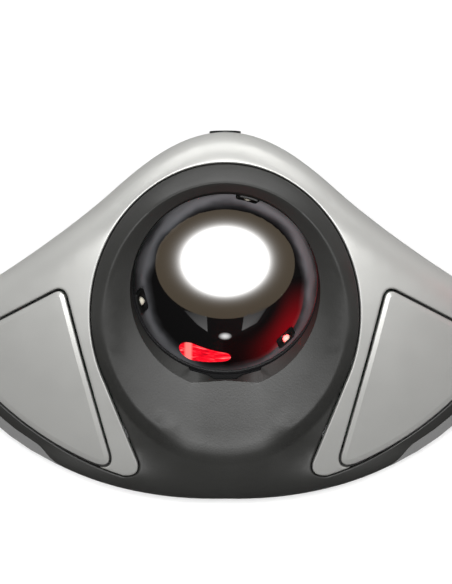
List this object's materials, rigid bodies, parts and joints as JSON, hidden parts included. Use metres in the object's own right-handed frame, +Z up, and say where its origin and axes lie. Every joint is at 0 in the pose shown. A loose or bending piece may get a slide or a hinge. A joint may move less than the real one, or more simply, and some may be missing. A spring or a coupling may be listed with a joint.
{
  "type": "trackball mouse",
  "caption": "Low winged trackball mouse for either hand: silver side buttons round a dark crater with an open black ball socket, and the ball set down beside it.",
  "frame": {"origin": "on the desk, straight below the middle of the ball socket, at the face of the middle foot", "axes": "+Z up, +Y away from the user towards the nose and cable inlet, +X to the user's right, towards the ball that lies beside the case"},
  "size_m": [0.1775, 0.0849, 0.04],
  "materials": {
    "silver_plastic": "satin metallic paint",
    "charcoal_plastic": "fine matt texture",
    "black_gloss": "polished",
    "black_plastic": "moulded",
    "ball_lacquer": "polished, with a fleck pattern",
    "ball_heart": "plain",
    "ceramic": "polished",
    "red_lens": "clear red",
    "board_green": "solder mask",
    "chip_black": "moulded epoxy",
    "gold_pins": "plated",
    "can_steel": "drawn",
    "capacitor_sleeve": "shrunk sleeve",
    "header_nylon": "nylon",
    "plunger_red": "moulded",
    "steel": "bright zinc",
    "foot_rubber": "matt",
    "label_foil": "blank foil"
  },
  "bodies": {
    "case": {"base_tray": "charcoal_plastic", "top_shell": "silver_plastic", "centre_cover": "charcoal_plastic", "ball_cup": "black_gloss", "support_beads": "ceramic", "bead_holders": "black_plastic", "sensor_window": "red_lens", "sensor_board": "board_green", "optical_sensor": "chip_black", "red_led": "red_lens", "led_clip": "black_plastic", "board_link": "gold_pins", "main_board": "board_green", "controller_chip": "chip_black", "crystal": "can_steel", "capacitors": "capacitor_sleeve", "cable_header": "header_nylon", "left_switch": "chip_black", "right_switch": "chip_black", "left_hinge_pin": "steel", "right_hinge_pin": "steel", "case_screws": "steel", "board_screws": "steel", "cup_screws": "steel", "rubber_feet": "foot_rubber", "cable_grommet": "black_plastic", "base_label": "label_foil"},
    "ball_core": {"ball_core": "ball_heart"},
    "ball_shell": {"ball_shell": "ball_lacquer"},
    "left_button": {"left_button": "silver_plastic"},
    "right_button": {"right_button": "silver_plastic"},
    "left_plunger": {"left_plunger": "plunger_red"},
    "right_plunger": {"right_plunger": "plunger_red"}
  },
  "joints": [
    {"name": "ball_seat", "type": "hinge", "parent": "case", "child": "ball_core", "pos_m": [0.04627, 0, 0.027], "axis": [0, -1, 0], "range_deg": [0, 188.7]},
    {"name": "ball_spin", "type": "hinge", "parent": "ball_core", "child": "ball_shell", "pos_m": [0.092, 0, 0.02], "axis": [1, 0, 0], "continuous": true},
    {"name": "right_press", "type": "hinge", "parent": "case", "child": "right_button", "pos_m": [0.0398, -0.0308, 0.0096], "axis": [-0.8387, -0.5446, 0], "range_deg": [0, 1.6], "stiffness_Nm_per_rad": 0.4, "springref_deg": -3.44},
    {"name": "right_click", "type": "slide", "parent": "case", "child": "right_plunger", "axis": [0, 0, -1], "range_m": [0, 0.0004]},
    {"name": "left_press", "type": "hinge", "parent": "case", "child": "left_button", "pos_m": [-0.0398, -0.0308, 0.0096], "axis": [-0.8387, 0.5446, 0], "range_deg": [0, 1.6], "stiffness_Nm_per_rad": 0.4, "springref_deg": -3.44},
    {"name": "left_click", "type": "slide", "parent": "case", "child": "left_plunger", "axis": [0, 0, -1], "range_m": [0, 0.0004]}
  ],
  "couplings": [
    {"joint": "right_click", "follows": "right_press", "m_per_rad": 0.01399},
    {"joint": "left_click", "follows": "left_press", "m_per_rad": 0.01399}
  ]
}
